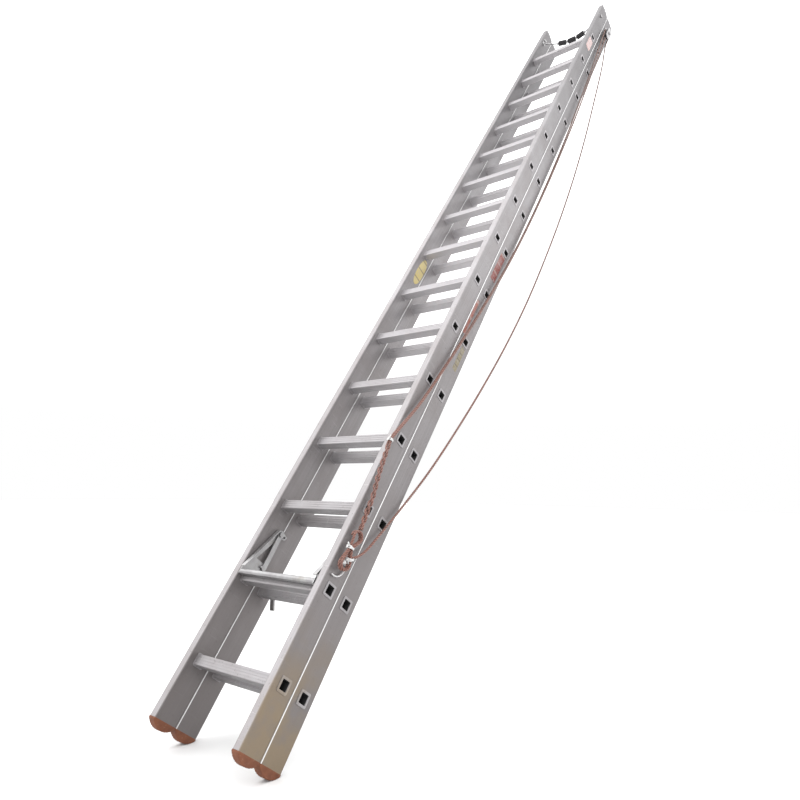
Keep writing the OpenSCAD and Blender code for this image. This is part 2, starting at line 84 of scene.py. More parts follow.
def at(x, y, z):
    """A point of the ladder's own frame, carried into the row frame."""
    return TO_ROW @ Vector((x, y, z))


# ---------------------------------------------------------------- camera

CAMERA_PLACE = (1.419, -1.104, 0.665)
CAMERA_AZIMUTH = math.radians(38.8)
CAMERA_PITCH = math.radians(7.9)
CAMERA_ROLL = math.radians(-0.9)
LENS = 29.73
SENSOR_WIDTH = 36


def make_camera():
    data = bpy.data.cameras.new("camera")
    data.lens = LENS
    data.sensor_width = SENSOR_WIDTH
    data.clip_end = 100
    camera = bpy.data.objects.new("camera", data)
    bpy.context.scene.collection.objects.link(camera)
    turn = (
        Matrix.Rotation(CAMERA_AZIMUTH, 4, "Z")
        @ Matrix.Rotation(math.pi / 2 + CAMERA_PITCH, 4, "X")
        @ Matrix.Rotation(-CAMERA_ROLL, 4, "Z")
    )
    camera.matrix_world = Matrix.Translation(CAMERA_PLACE) @ turn
    bpy.context.scene.camera = camera
    bpy.context.scene.view_settings.view_transform = "Standard"


make_camera()

# ---------------------------------------------------------------- materials


class Shader:
    """A Principled material, with short ways to add the nodes that feed it."""

    def __init__(self, name, roughness=0.5, metallic=0.0, **sockets):
        self.material = bpy.data.materials.new(name)
        self.material.use_nodes = True
        self.tree = self.material.node_tree
        self.bsdf = self.tree.nodes["Principled BSDF"]
        self.set("Roughness", roughness)
        self.set("Metallic", metallic)
        for socket, value in sockets.items():
            self.set(socket.replace("_", " "), value)

    def set(self, socket, value):
        if isinstance(value, bpy.types.NodeSocket):
            self.tree.links.new(value, self.bsdf.inputs[socket])
        else:
            self.bsdf.inputs[socket].default_value = value

    def node(self, kind, inputs=(), **settings):
        made = self.tree.nodes.new(kind)
        for key, value in settings.items():
            setattr(made, key, value)
        for key, value in dict(inputs).items():
            if isinstance(value, bpy.types.NodeSocket):
                self.tree.links.new(value, made.inputs[key])
            else:
                made.inputs[key].default_value = value
        return made

    def place(self, scale=(1, 1, 1)):
        """Metres in the ladder's own frame, so that grain follows the stiles, times scale."""
        coords = self.node("ShaderNodeTexCoord").outputs["Object"]
        upright = self.node("ShaderNodeMapping", {"Vector": coords, "Rotation": (LEAN, 0, 0)})
        return self.node(
            "ShaderNodeMapping", {"Vector": upright.outputs["Vector"], "Scale": scale}
        ).outputs["Vector"]

    def noise(self, scale, stretch=(1, 1, 1), detail=4.0, rough=0.55):
        return self.node(
            "ShaderNodeTexNoise",
            {
                "Vector": self.place(stretch),
                "Scale": scale,
                "Detail": detail,
                "Roughness": rough,
            },
        ).outputs["Fac"]

    def level(self, value, low, high, to_low=0.0, to_high=1.0):
        return self.node(
            "ShaderNodeMapRange",
            {
                "Value": value,
                "From Min": low,
                "From Max": high,
                "To Min": to_low,
                "To Max": to_high,
            },
        ).outputs["Result"]

    def mix(self, share, a, b):
        made = self.node("ShaderNodeMix", data_type="RGBA")
        for key, value in (("Factor", share), ("A", a), ("B", b)):
            socket = next(s for s in made.inputs if s.name == key and s.enabled)
            if isinstance(value, bpy.types.NodeSocket):
                self.tree.links.new(value, socket)
            else:
                socket.default_value = value
        return next(s for s in made.outputs if s.enabled)

    def math(self, operation, a, b=0.0):
        return self.node("ShaderNodeMath", {0: a, 1: b}, operation=operation).outputs[0]

    def bump(self, height, distance, strength=1.0):
        made = self.node(
            "ShaderNodeBump", {"Height": height, "Distance": distance, "Strength": strength}
        )
        self.set("Normal", made.outputs["Normal"])


def grey(value, tint=(1.0, 1.0, 1.0)):
    return (value * tint[0], value * tint[1], value * tint[2], 1)


WARM = (1.0, 0.965, 0.99)
BROWNISH = (1.0, 0.90, 0.88)


def height_up(shader):
    """Height along the stiles in metres, from their cut ends."""
    z = shader.node("ShaderNodeSeparateXYZ", {"Vector": shader.place()}).outputs["Z"]
    return shader.math("SUBTRACT", z, CUT_END_UP)


def mill_aluminium(
    name, grain, base, rough, low_dirt_and_side_shade, height_painted_tone, rubbed_highlight_at=None, painted_shade_inside=False
):
    """Extruded aluminium: die lines along the grain, scratches, oxide patches, and a darkening
    low down, strongest on the side faces, that is partly dirt and partly painted shade.

    The (from, to, tone) heights turn the metal to that tone between these heights, as painted
    shade or painted light. A front-to-rear distance, when given, places a line painted bright
    along the sliding corners, partly rubbed metal and partly a painted highlight, and the flag
    for rung ends paints shade on the hidden ends of a rung."""
    s = Shader(name, metallic=0.58)
    s.set("Specular Tint", grey(0.45))
    lines = s.noise(1.0, grain, detail=3.0)
    streaks = s.noise(1.0, tuple(g * 0.16 for g in grain), detail=2.0)
    patches = s.noise(9.0, detail=5.0)
    specks = s.noise(160.0, detail=2.0)
    across = tuple(260.0 if g < 50 else 14.0 for g in grain)
    scratches = s.level(s.noise(1.0, across, detail=1.0), 0.70, 0.73)
    dull = s.level(patches, 0.38, 0.68)
    colour = s.mix(s.level(lines, 0.3, 0.7), grey(base * 0.86, WARM), grey(base * 1.12, WARM))
    colour = s.mix(s.level(streaks, 0.45, 0.7, 0, 0.4), colour, grey(base * 0.76, WARM))
    colour = s.mix(s.math("MULTIPLY", dull, 0.4), colour, grey(base * 0.72, BROWNISH))
    colour = s.mix(s.level(specks, 0.64, 0.72, 0, 0.6), colour, grey(base * 0.45, BROWNISH))
    colour = s.mix(s.math("MULTIPLY", scratches, 0.3), colour, grey(min(0.95, base * 1.6)))
    normal = s.node("ShaderNodeTexCoord").outputs["Normal"]
    normal_x = s.node("ShaderNodeSeparateXYZ", {"Vector": normal}).outputs["X"]
    sideways = s.math("ABSOLUTE", normal_x)
    # darker towards the bottom, most on the side faces: partly dirt, partly painted shade, while
    # the front faces keep their light
    low = s.level(height_up(s), 0.0, 2.4, low_dirt_and_side_shade, 0.0)
    low = s.math("MULTIPLY", low, s.level(sideways, 0.3, 0.8, 0.35, 1.0))
    colour = s.mix(low, colour, grey(base * 0.33, BROWNISH))
    across_ladder = s.node("ShaderNodeSeparateXYZ", {"Vector": s.place()}).outputs["X"]
    stained = s.math("MULTIPLY", s.level(height_up(s), 0.10, 0.36, 0.75, 0.0), sideways)
    stained = s.math("MULTIPLY", stained, s.level(patches, 0.35, 0.6))
    stained = s.math("MULTIPLY", stained, s.math("GREATER_THAN", across_ladder, 0.0))
    colour = s.mix(stained, colour, (0.24, 0.185, 0.12, 1))
    # painted shade and painted light by height: towards the top the stiles are painted darker and
    # the rungs lighter
    start, end, tone = height_painted_tone
    colour = s.mix(s.level(height_up(s), start, end, 0.0, 0.9), colour, grey(tone, WARM))
    if painted_shade_inside:
        # within the depth of the stile only the inside of a rung shows, through its open end, and
        # it is painted dark there as the shade inside the tube
        out = s.math("ABSOLUTE", across_ladder)
        hidden = s.math(
            "MULTIPLY",
            s.level(out, INNER_X * MM, (INNER_X + 2) * MM),
            s.level(out, (HALF_W - 1) * MM, HALF_W * MM, 1.0, 0.0),
        )
        colour = s.mix(hidden, colour, grey(0.06))
    if rubbed_highlight_at:
        # the corners where the two sections slide past each other are painted bright: partly
        # rubbed metal, partly a painted highlight where their rounded corners would catch the
        # light
        front_to_rear = s.node("ShaderNodeSeparateXYZ", {"Vector": s.place()}).outputs["Y"]
        off = s.math("ABSOLUTE", s.math("SUBTRACT", front_to_rear, rubbed_highlight_at))
        rubbed_highlight = s.math(
            "MULTIPLY", s.level(off, 0.0004, 0.0015, 1.0, 0.0), s.level(patches, 0.2, 0.5, 0.6, 1)
        )
        colour = s.mix(rubbed_highlight, colour, grey(0.70))
    s.set("Base Color", colour)
    along_lines = s.level(lines, 0.2, 0.8, rough, rough + 0.14)
    s.set("Roughness", s.math("ADD", along_lines, s.math("MULTIPLY", dull, 0.10)))
    s.bump(s.math("ADD", lines, s.math("MULTIPLY", scratches, 0.5)), 0.00012, 0.6)
    return s.material


def zinc_plate(name, base, rough=0.30):
    """Zinc plated steel: cloudy plating with faint passivation and small brown stains."""
    s = Shader(name, metallic=0.9)
    cloud = s.noise(45.0, detail=5.0)
    grain = s.noise(700.0, detail=2.0)
    stain = s.level(s.noise(22.0, detail=6.0, rough=0.65), 0.56, 0.72)
    colour = s.mix(s.level(cloud, 0.3, 0.7), grey(base * 0.80, WARM), grey(base * 1.2))
    colour = s.mix(s.math("MULTIPLY", stain, 0.5), colour, grey(base * 0.5, (1.0, 0.82, 0.62)))
    s.set("Base Color", colour)
    s.set("Roughness", s.level(cloud, 0.3, 0.7, rough, rough + 0.16))
    s.bump(grain, 0.00006, 0.4)
    return s.material


def rubber(name, dark, light, bloom):
    """Moulded rubber or plastic: matt skin with pale bloom and scuffs."""
    s = Shader(name, roughness=0.72)
    s.set("Specular IOR Level", 0.35)
    cloud = s.noise(60.0, detail=5.0)
    fine = s.noise(900.0, detail=2.0)
    scuff = s.level(s.noise(130.0, detail=4.0, rough=0.7), 0.58, 0.70)
    colour = s.mix(s.level(cloud, 0.3, 0.7), dark, light)
    colour = s.mix(s.math("MULTIPLY", scuff, 0.5), colour, bloom)
    s.set("Base Color", colour)
    s.set("Roughness", s.level(cloud, 0.3, 0.7, 0.62, 0.82))
    s.bump(s.math("ADD", fine, s.math("MULTIPLY", cloud, 0.6)), 0.00012, 0.6)
    return s.material


def laid_rope(name):
    """Laid rope: yarn lines follow the strands, grooves painted dark as shade, faded and soiled
    lengths.
    """
    s = Shader(name, roughness=0.6)
    s.set("Sheen Weight", 0.25)
    s.set("Sheen Roughness", 0.4)
    uv = s.node("ShaderNodeUVMap", uv_map="lay").outputs["UV"]
    yarn_place = s.node("ShaderNodeMapping", {"Vector": uv, "Scale": (14.0, 30.0, 1.0)})
    yarns = s.node(
        "ShaderNodeTexNoise",
        {"Vector": yarn_place.outputs["Vector"], "Scale": 1.0, "Detail": 2.0},
    ).outputs["Fac"]
    groove = s.node("ShaderNodeAttribute", attribute_name="groove").outputs["Fac"]
    fade = s.noise(7.0, detail=3.0)
    soil = s.level(s.noise(26.0, detail=4.0), 0.5, 0.72)
    colour = s.mix(s.level(yarns, 0.3, 0.7), (0.175, 0.058, 0.040, 1), (0.34, 0.150, 0.108, 1))
    colour = s.mix(s.level(fade, 0.4, 0.7, 0, 0.5), colour, (0.31, 0.215, 0.195, 1))
    colour = s.mix(s.level(height_up(s), 0.8, 2.4, 0, 0.6), colour, (0.235, 0.185, 0.165, 1))
    colour = s.mix(s.math("MULTIPLY", soil, 0.45), colour, (0.105, 0.068, 0.060, 1))
    # the grooves between the strands are painted dark as shade
    colour = s.mix(s.math("MULTIPLY", groove, 0.85), colour, (0.045, 0.018, 0.014, 1))
    s.set("Base Color", colour)
    s.bump(yarns, 0.0004, 0.8)
    return s.material


def white_tape(name):
    s = Shader(name, roughness=0.6)
    weave = s.noise(1500.0, detail=1.0)
    dirt = s.level(s.noise(120.0, detail=5.0), 0.5, 0.8)
    s.set("Base Color", s.mix(s.math("MULTIPLY", dirt, 0.6), grey(0.56), (0.34, 0.29, 0.26, 1)))
    s.bump(weave, 0.0002, 0.6)
    return s.material


def printed_film(name, zones):
    """Plain stickers, one colour per zone of height up the stile, each crossed by plain bands.

    zones are (lower end, field colour, band colour, band pitch), lowest first."""
    s = Shader(name, roughness=0.4)
    s.set("Coat Weight", 0.2)
    up = height_up(s)
    colour = None
    for start, field, band, pitch in zones:
        phase = s.math("FRACT", s.math("DIVIDE", s.math("SUBTRACT", up, start), pitch))
        banded = s.mix(s.level(phase, 0.84, 0.87), field, band)
        if colour is None:
            colour = banded
        else:
            colour = s.mix(s.math("GREATER_THAN", up, start), colour, banded)
    faded = s.level(s.noise(30.0, detail=4.0), 0.4, 0.75, 0, 0.25)
    worn = s.level(s.noise(150.0, detail=6.0, rough=0.7), 0.58, 0.63)
    colour = s.mix(faded, colour, grey(0.40, WARM))
    colour = s.mix(s.math("MULTIPLY", worn, 0.8), colour, grey(0.33, WARM))
    s.set("Base Color", colour)
    s.bump(s.noise(300.0, detail=2.0), 0.00005, 0.4)
    return s.material


FRONT = Vector((0, math.cos(LEAN), -math.sin(LEAN)))
CUT_END_UP = at(0, 0, 0).dot(UP_STILE)
SLIDING_FACE = at(0, STILE_D + 2.2, 0).dot(FRONT)

# die lines run along z on the stiles and along x on the rungs
STILE_METAL = mill_aluminium(
    "stile_metal",
    (420.0, 420.0, 1.6),
    base=0.40,
    rough=0.32,
    # the stiles darken towards the bottom on their side faces: partly dirt, partly painted shade
    low_dirt_and_side_shade=0.9,
    # painted shade: the stiles are painted darker towards the top
    height_painted_tone=(1.9, 3.5, 0.19),
    # a bright line along the sliding corners: partly rubbed metal, partly a painted highlight
    rubbed_highlight_at=SLIDING_FACE,
)
RUNG_METAL = mill_aluminium(
    "rung_metal",
    (1.8, 520.0, 520.0),
    base=0.32,
    rough=0.38,
    low_dirt_and_side_shade=0.0,
    # painted light: the rungs are painted lighter towards the top
    height_painted_tone=(0.6, 1.9, 0.47),
    # the rung ends hidden in the stiles are painted dark as shade
    painted_shade_inside=True,
)
ZINC = zinc_plate("zinc_plate", 0.34)
BRIGHT_ZINC = zinc_plate("bright_zinc", 0.62, rough=0.24)
DARK_METAL = zinc_plate("dark_turned_metal", 0.20)
CAP_PLASTIC = rubber(
    "cap_plastic", (0.20, 0.195, 0.20, 1), (0.29, 0.28, 0.285, 1), (0.42, 0.41, 0.40, 1)
)
FOOT_RUBBER = rubber(
    "foot_rubber", (0.120, 0.040, 0.019, 1), (0.175, 0.064, 0.032, 1), (0.25, 0.135, 0.09, 1)
)
BLACK_RUBBER = rubber(
    "black_rubber", (0.022, 0.021, 0.023, 1), (0.050, 0.048, 0.052, 1), (0.13, 0.125, 0.13, 1)
)
ROPE = laid_rope("laid_rope")
TAPE = white_tape("white_tape")
BASE_FILM = printed_film(
    "base_film",
    (
        (1.28, (0.185, 0.152, 0.085, 1), (0.08, 0.065, 0.05, 1), 0.027),
        (1.43, (0.30, 0.115, 0.09, 1), (0.34, 0.24, 0.22, 1), 0.085),
        (1.74, (0.185, 0.040, 0.030, 1), (0.27, 0.16, 0.14, 1), 0.049),
    ),
)
FLY_FILM = printed_film(
    "fly_film",
    (
        (1.74, (0.52, 0.42, 0.16, 1), (0.24, 0.19, 0.09, 1), 0.047),
        (3.50, (0.42, 0.25, 0.23, 1), (0.46, 0.40, 0.40, 1), 0.034),
    ),
)


def material_of(node):
    """The material of a CAD node, by what its name says it is."""
    for word, material in (
        ("stile", STILE_METAL),
        ("rung", RUNG_METAL),
        ("foot", FOOT_RUBBER),
        ("caps", CAP_PLASTIC),
        ("roller", BLACK_RUBBER),
        ("sheave", DARK_METAL),
        ("rope_hook", BRIGHT_ZINC),
        ("base_stickers", BASE_FILM),
        ("fly_stickers", FLY_FILM),
        ("tie", TAPE),
    ):
        if word in node:
            return material
    return ZINC


def dress(obj, material):
    obj.data.materials.clear()
    obj.data.materials.append(material)


def soften_edges(obj, width):
    """Rounds the sharp edges of a piece so that they catch the light."""
    bevel = obj.modifiers.new("soft_edges", "BEVEL")
    bevel.width = width * MM
    bevel.segments = 2
    bevel.limit_method = "ANGLE"
    bevel.angle_limit = math.radians(50)


EDGE_SOFTNESS = {"latch": 0.5, "caps": 1.2, "base_stop": 0.5, "pulley_bracket": 0.5}

for node_name, node_object in frame["nodes"].items():
    dress(node_object, material_of(node_name))
    for word, width in EDGE_SOFTNESS.items():
        if word in node_name:
            soften_edges(node_object, width)

# ---------------------------------------------------------------- mesh helpers


def add_mesh(name, verts, faces, material, smooth=True):
    mesh = bpy.data.meshes.new(name)
    mesh.from_pydata([tuple(v) for v in verts], [], faces)
    mesh.validate()
    bm = bmesh.new()
    bm.from_mesh(mesh)
    bmesh.ops.recalc_face_normals(bm, faces=bm.faces)
    bm.to_mesh(mesh)
    bm.free()
    if smooth:
        mesh.shade_smooth()
    mesh.materials.append(material)
    obj = bpy.data.objects.new(name, mesh)
    bpy.context.scene.collection.objects.link(obj)
    return obj


def smooth_route(route, step):
    """Points step apart along one smooth curve through the route's points."""
    pts = [Vector(p) for p in route]
    pts = [2 * pts[0] - pts[1]] + pts + [2 * pts[-1] - pts[-2]]
    fine = []
    for a, b, c, d in zip(pts, pts[1:], pts[2:], pts[3:]):
        ta = 0.0
        tb = ta + (b - a).length ** 0.5
        tc = tb + (c - b).length ** 0.5
        td = tc + (d - c).length ** 0.5
        count = max(2, math.ceil((c - b).length / step * 2))
        for i in range(count):
            t = tb + (tc - tb) * i / count
            ab = a.lerp(b, (t - ta) / (tb - ta))
            bc = b.lerp(c, (t - tb) / (tc - tb))
            cd = c.lerp(d, (t - tc) / (td - tc))
            abc = ab.lerp(bc, (t - ta) / (tc - ta))
            bcd = bc.lerp(cd, (t - tb) / (td - tb))
            fine.append(abc.lerp(bcd, (t - tb) / (tc - tb)))
    fine.append(Vector(route[-1]))
    reach = [0.0]
    for a, b in zip(fine, fine[1:]):
        reach.append(reach[-1] + (b - a).length)
    count = max(2, round(reach[-1] / step))
    even, i = [], 0
    for k in range(count + 1):
        want = reach[-1] * k / count
        while i < len(fine) - 2 and reach[i + 1] < want:
            i += 1
        span = max(reach[i + 1] - reach[i], 1e-9)
        even.append(fine[i].lerp(fine[i + 1], (want - reach[i]) / span))
    return even


STRANDS = 3
STRAND_SIDES = 6  # corners of the outline on each strand
STRAND_SHARE = 0.4641  # a strand's radius over the rope's, for three that touch
GROOVE_SHARE = 0.62  # the bottom of the groove, over the rope's radius
LAY_LENGTH = 27.0
RING_STEP = 2.6


def strand_outline(radius):
    """Angle, distance from the middle and depth in the groove, once round a three-strand rope."""
    strand_r = radius * STRAND_SHARE
    offset = radius - strand_r
    outline = []
    for k in range(STRANDS * STRAND_SIDES):
        angle = 2 * math.pi * k / (STRANDS * STRAND_SIDES)
        off = (angle + math.pi / STRANDS) % (2 * math.pi / STRANDS) - math.pi / STRANDS
        inside = max(0.0, strand_r**2 - (offset * math.sin(off)) ** 2)
        r = offset * math.cos(off) + math.sqrt(inside)
        r = max(r, radius * GROOVE_SHARE)
        depth = 1 - (r - radius * GROOVE_SHARE) / (radius * (1 - GROOVE_SHARE))
        outline.append((angle, r, depth))
    return outline


def rope_mesh(name, route, diameter):
    """A laid rope along a route given in the ladder's frame. Returns the piece and its path."""
    path = smooth_route(route, RING_STEP)
    outline = strand_outline(diameter / 2)
    sides = len(outline)
    verts, faces, grooves = [], [], []
    side = Vector((1, 0, 0))
    reach = 0.0
    for i, p in enumerate(path):
        ahead = (path[min(i + 1, len(path) - 1)] - path[max(i - 1, 0)]).normalized()
        side = (side - side.dot(ahead) * ahead).normalized()
        other = ahead.cross(side)
        if i:
            reach += (p - path[i - 1]).length
        twist = 2 * math.pi * reach / LAY_LENGTH
        for angle, r, groove in outline:
            a = angle + twist
            verts.append(TO_ROW @ (p + r * (math.cos(a) * side + math.sin(a) * other)))
            grooves.append(groove)
    for i in range(len(path) - 1):
        for k in range(sides):
            n = (k + 1) % sides
            faces.append(
                (i * sides + k, i * sides + n, (i + 1) * sides + n, (i + 1) * sides + k)
            )
    faces.append(tuple(range(sides - 1, -1, -1)))
    faces.append(tuple((len(path) - 1) * sides + k for k in range(sides)))
    obj = add_mesh(name, verts, faces, ROPE)
    groove = obj.data.attributes.new("groove", "FLOAT", "POINT")
    groove.data.foreach_set("value", grooves)
    lay = obj.data.uv_layers.new(name="lay")
    for polygon in obj.data.polygons:
        for corner in polygon.loop_indices:
            vertex = obj.data.loops[corner].vertex_index
            ring, k = divmod(vertex, sides)
            if k == 0 and any(
                obj.data.loops[c].vertex_index % sides == sides - 1
                for c in polygon.loop_indices
            ):
                k = sides
            lay.data[corner].uv = (ring * RING_STEP * MM, k / sides)
    return obj, [TO_ROW @ p for p in path]


# ---------------------------------------------------------------- rope

ROPE_D = 8.0
SHEAVE_Y = 112
SHEAVE_Z = 3850
WRAP_R = 24.5
LINE_X = 196

# below the upper tie the two strands are twisted together about this line
PAIR_LINE = [
    (198.2, 30, 590), (197.8, 27, 613), (196.8, 23, 652), (195.8, 20, 693), (195.2, 6, 748),
    (195.2, -3, 796), (195.2, -15, 868),
]  # fmt: skip
PAIR_OFFSET = 4.15
PAIR_TURNS = 5
PAIR_TWIST_FROM = 604
PAIR_TWIST_TO = 852


def twisted_pair(side):
    """One strand of the pair, from just above the hank up to the upper tie."""
    line = smooth_route(PAIR_LINE, 6.0)
    points = []
    for i, p in enumerate(line):
        share = (p.z - PAIR_TWIST_FROM) / (PAIR_TWIST_TO - PAIR_TWIST_FROM)
        share = min(max(share, 0.0), 1.0)
        a = 2 * math.pi * PAIR_TURNS * share
        points.append(p + side * PAIR_OFFSET * Vector((math.cos(a), -math.sin(a), 0)))
    return [tuple(q) for q in points]


HOIST_ROUTE = twisted_pair(-1) + [
    (191, 33, 1050), (191, 66, 1250), (191, 101, 1500), (192, 134, 1800), (193, 152, 2100),
    (194, 156, 2450), (195, 148, 2800), (196, 132, 3150), (196, 111, 3500), (196, 93, 3750),
    (LINE_X, SHEAVE_Y - WRAP_R, SHEAVE_Z),
]  # fmt: skip
FALL_ROUTE = [
    (LINE_X, SHEAVE_Y + WRAP_R, SHEAVE_Z),
    (196, 141, 3760), (197, 180, 3600), (198, 230, 3300), (199, 274, 3000), (199, 306, 2700),
    (199, 324, 2400), (198, 330, 2100), (198, 325, 1850), (197, 307, 1600), (196, 276, 1350),
    (195, 234, 1100), (194, 192, 900), (193, 150, 750), (193, 108, 618), (197, 84, 560),
    (200, 62, 528), (200, 43.2, 511),
]  # fmt: skip
DEAD_ROUTE = [
    (196, 112, 3805), (203, 113, 3650), (204.6, 122, 3400), (204.4, 140, 3050),
    (203.4, 150, 2750), (202.6, 154, 2450), (201, 149, 2100), (200.4, 131, 1800),
    (199.6, 98, 1500), (199.4, 63, 1250), (199.4, 30, 1050),
] + twisted_pair(1)[::-1]  # fmt: skip
WRAP_STEPS = 14
WRAP_ROUTE = [
    (LINE_X, SHEAVE_Y - WRAP_R * math.cos(a), SHEAVE_Z + WRAP_R * math.sin(a))
    for a in (math.pi * i / WRAP_STEPS for i in range(WRAP_STEPS + 1))
]


def hoisted_rope(name, route, node):
    """A stretch of rope between the pulley and the fly, carried by the base section."""
    piece, path = rope_mesh(name, route, ROPE_D)
    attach(piece, "base_section")
    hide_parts(node)
    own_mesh(piece)
    return piece


hoisted_rope("rope_hoist_strand", HOIST_ROUTE, "rope_line")
hoisted_rope("rope_fall", FALL_ROUTE, "rope_line")
hoisted_rope("rope_dead_end_strand", DEAD_ROUTE, "rope_dead_strand")


def rope_over_sheave():
    piece, path = rope_mesh("rope_over_sheave", WRAP_ROUTE, ROPE_D)
    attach(piece, "base_section")
    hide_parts("rope_line")


rope_over_sheave()

HANK_LAYERS = (195.75, 204.25)
# circles that one turn of the hank bends round: y, z, radius, and 1 where it turns left
HANK_BENDS = (
    (28, 566, 16.2, -1), (43.9, 530, 17, 1), (28, 486, 16.2, -1), (0.1, 530, 17, 1),
)  # fmt: skip
HANK_STEP = 2.5
HANK_CROSS_FROM = 0.66  # the share of the first turn at which it starts to move over
HANK_CROSS_SHARE = 0.30


def hank_turn():
    """Points round one turn, as y and z: arcs round the circles, joined by straight legs."""
    legs = []
    for k, (y0, z0, r0, s0) in enumerate(HANK_BENDS):
        y1, z1, r1, s1 = HANK_BENDS[(k + 1) % len(HANK_BENDS)]
        far = math.hypot(y1 - y0, z1 - z0)
        heading = math.atan2(z1 - z0, y1 - y0) - math.asin((s1 * r1 - s0 * r0) / far)
        left = (-math.sin(heading), math.cos(heading))
        legs.append(
            (
                (y0 - s0 * r0 * left[0], z0 - s0 * r0 * left[1]),
                (y1 - s1 * r1 * left[0], z1 - s1 * r1 * left[1]),
            )
        )
    points = []
    for k, (y, z, r, s) in enumerate(HANK_BENDS):
        come, go = legs[k - 1][1], legs[k][0]
        a = math.atan2(come[1] - z, come[0] - y)
        sweep = (math.atan2(go[1] - z, go[0] - y) - a) * s % (2 * math.pi)
        steps = max(2, round(sweep * r / HANK_STEP))
        for i in range(steps + 1):
            turned = a + s * sweep * i / steps
            points.append((y + r * math.cos(turned), z + r * math.sin(turned)))
        end = legs[k][1]
        steps = max(2, round(math.hypot(end[0] - go[0], end[1] - go[1]) / HANK_STEP))
        points += [
            (go[0] + (end[0] - go[0]) * i / steps, go[1] + (end[1] - go[1]) * i / steps)
            for i in range(1, steps)
        ]
    return points


def hank_route():
    """Two turns side by side in x; the first moves over to the second on its last third."""
    turn = hank_turn()
    near, far = HANK_LAYERS
    points = []
    for k, (y, z) in enumerate(turn):
        share = (k / len(turn) - HANK_CROSS_FROM) / HANK_CROSS_SHARE
        share = min(max(share, 0.0), 1.0)
        points.append((near + (far - near) * (1 - math.cos(math.pi * share)) / 2, y, z))
    return points + [(far, y, z) for y, z in turn]


def rope_hank():
    piece, path = rope_mesh("rope_hank_turns", hank_route(), ROPE_D)
    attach(piece, "fly_section")
    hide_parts("rope_hank")


rope_hank()

# ---------------------------------------------------------------- tape ties


def ribbon(verts, faces, path, outward, width, thickness):
    """Adds a strip of tape along path, lying flat against the outward directions."""
    start = len(verts)
    for i, p in enumerate(path):
        ahead = (path[min(i + 1, len(path) - 1)] - path[max(i - 1, 0)]).normalized()
        out = outward[i].normalized()
        side = ahead.cross(out).normalized()
        for w, t in ((-1, 0), (-0.8, 1), (0.8, 1), (1, 0), (0.8, -1), (-0.8, -1)):
            verts.append(p + side * (w * width / 2) + out * (t * thickness / 2))
    for i in range(len(path) - 1):
        a, b = start + 6 * i, start + 6 * (i + 1)
        for k in range(6):
            n = (k + 1) % 6
            faces.append((a + k, a + n, b + n, b + k))
    faces.append(tuple(start + k for k in range(5, -1, -1)))
    faces.append(tuple(start + 6 * (len(path) - 1) + k for k in range(6)))


TAPE_W = 4.6
TAPE_T = 1.0
TAPE_TURNS = 3
TAPE_STEPS = 40
TAPE_SQUARENESS = 0.62  # 1 would wind round an ellipse
KNOT_W = 4.4
KNOT_T = 1.6
KNOT_TILTS = (35, -40)
TAIL_T = 0.9


def tape_tie(name, node, body, centre, half_x, half_y, lean_deg, height, tails):
    """Tape wound a few times round the strands and knotted at the front, with two loose tails."""
    centre = Vector(centre)
    turn = Matrix.Rotation(math.radians(lean_deg), 3, "X")
    verts, faces, path, outward = [], [], [], []
    count = TAPE_TURNS * TAPE_STEPS
    for i in range(count + 1):
        a = 2 * math.pi * i / TAPE_STEPS - math.pi / 2
        level = i / count - 0.5
        cx = math.copysign(abs(math.cos(a)) ** TAPE_SQUARENESS, math.cos(a))
        cy = math.copysign(abs(math.sin(a)) ** TAPE_SQUARENESS, math.sin(a))
        grow = 0.5 * i / count + random.uniform(-0.08, 0.08)
        wobble = 0.8 * math.sin(2 * a + i * 0.05)
        path.append(
            centre
            + turn @ Vector(
                (
                    cx * (half_x + grow),
                    cy * (half_y + grow),
                    level * (height - TAPE_W) + wobble,
                )
            )
        )
        outward.append(turn @ Vector((math.cos(a), math.sin(a), 0)))
    ribbon(verts, faces, path, outward, TAPE_W, TAPE_T)
    # the knot: two short crossed loops standing proud at the front
    knot = centre + turn @ Vector((half_x * 0.35, -half_y - 2.2, 0))
    for tilt in KNOT_TILTS:
        path, outward = [], []
        for i in range(15):
            a = math.pi * 2 * i / 14
            around = Vector((math.cos(a) * 3.4, math.sin(a) * 2.4 - 0.4, math.cos(a) * 3.4))
            around.rotate(Matrix.Rotation(math.radians(tilt), 3, "Y"))
            path.append(knot + turn @ around)
            outward.append(turn @ Vector((math.cos(a), math.sin(a) * 2, math.cos(a))))
        ribbon(verts, faces, path, outward, KNOT_W, KNOT_T)
    for reach_x, reach_y, reach_z in tails:
        path, outward = [], []
        for i in range(13):
            u = i / 12
            path.append(
                knot
                + Vector(
                    (
                        reach_x * u + 1.2 * math.sin(5 * u),
                        reach_y * u - 2.5 * math.sin(math.pi * u),
                        reach_z * u**1.4,
                    )
                )
            )
            outward.append(Vector((0.25 * math.sin(4 * u), -1, 0.4 * math.cos(3 * u))))
        ribbon(verts, faces, path, outward, TAPE_W, TAIL_T)
    piece = add_mesh(name, [TO_ROW @ v for v in verts], faces, TAPE)
    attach(piece, body)
    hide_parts(node)


tape_tie(
    "upper_tape_tie", "rope_tie_upper", "rope_tie",
    (195.2, -15, 868), 9.4, 6.6, -6, 10, ((5, -6, -15), (6, -3, 9)),
)  # fmt: skip
tape_tie(
    "waist_tape_tie", "rope_ties_lower", "fly_section",
    (200, 22, 530), 9.4, 9.4, 0, 9, ((5, -7, -9), (4, -8, 7)),
)  # fmt: skip
tape_tie(
    "leg_tape_tie", "rope_ties_lower", "fly_section",
    (200, 39.4, 505.2), 9.4, 8.8, 30, 9, ((6, 3, -11), (4, -5, -7)),
)  # fmt: skip

# ---------------------------------------------------------------- labels on the fly

LABEL_T = 0.3
LABEL_SIDES = 64


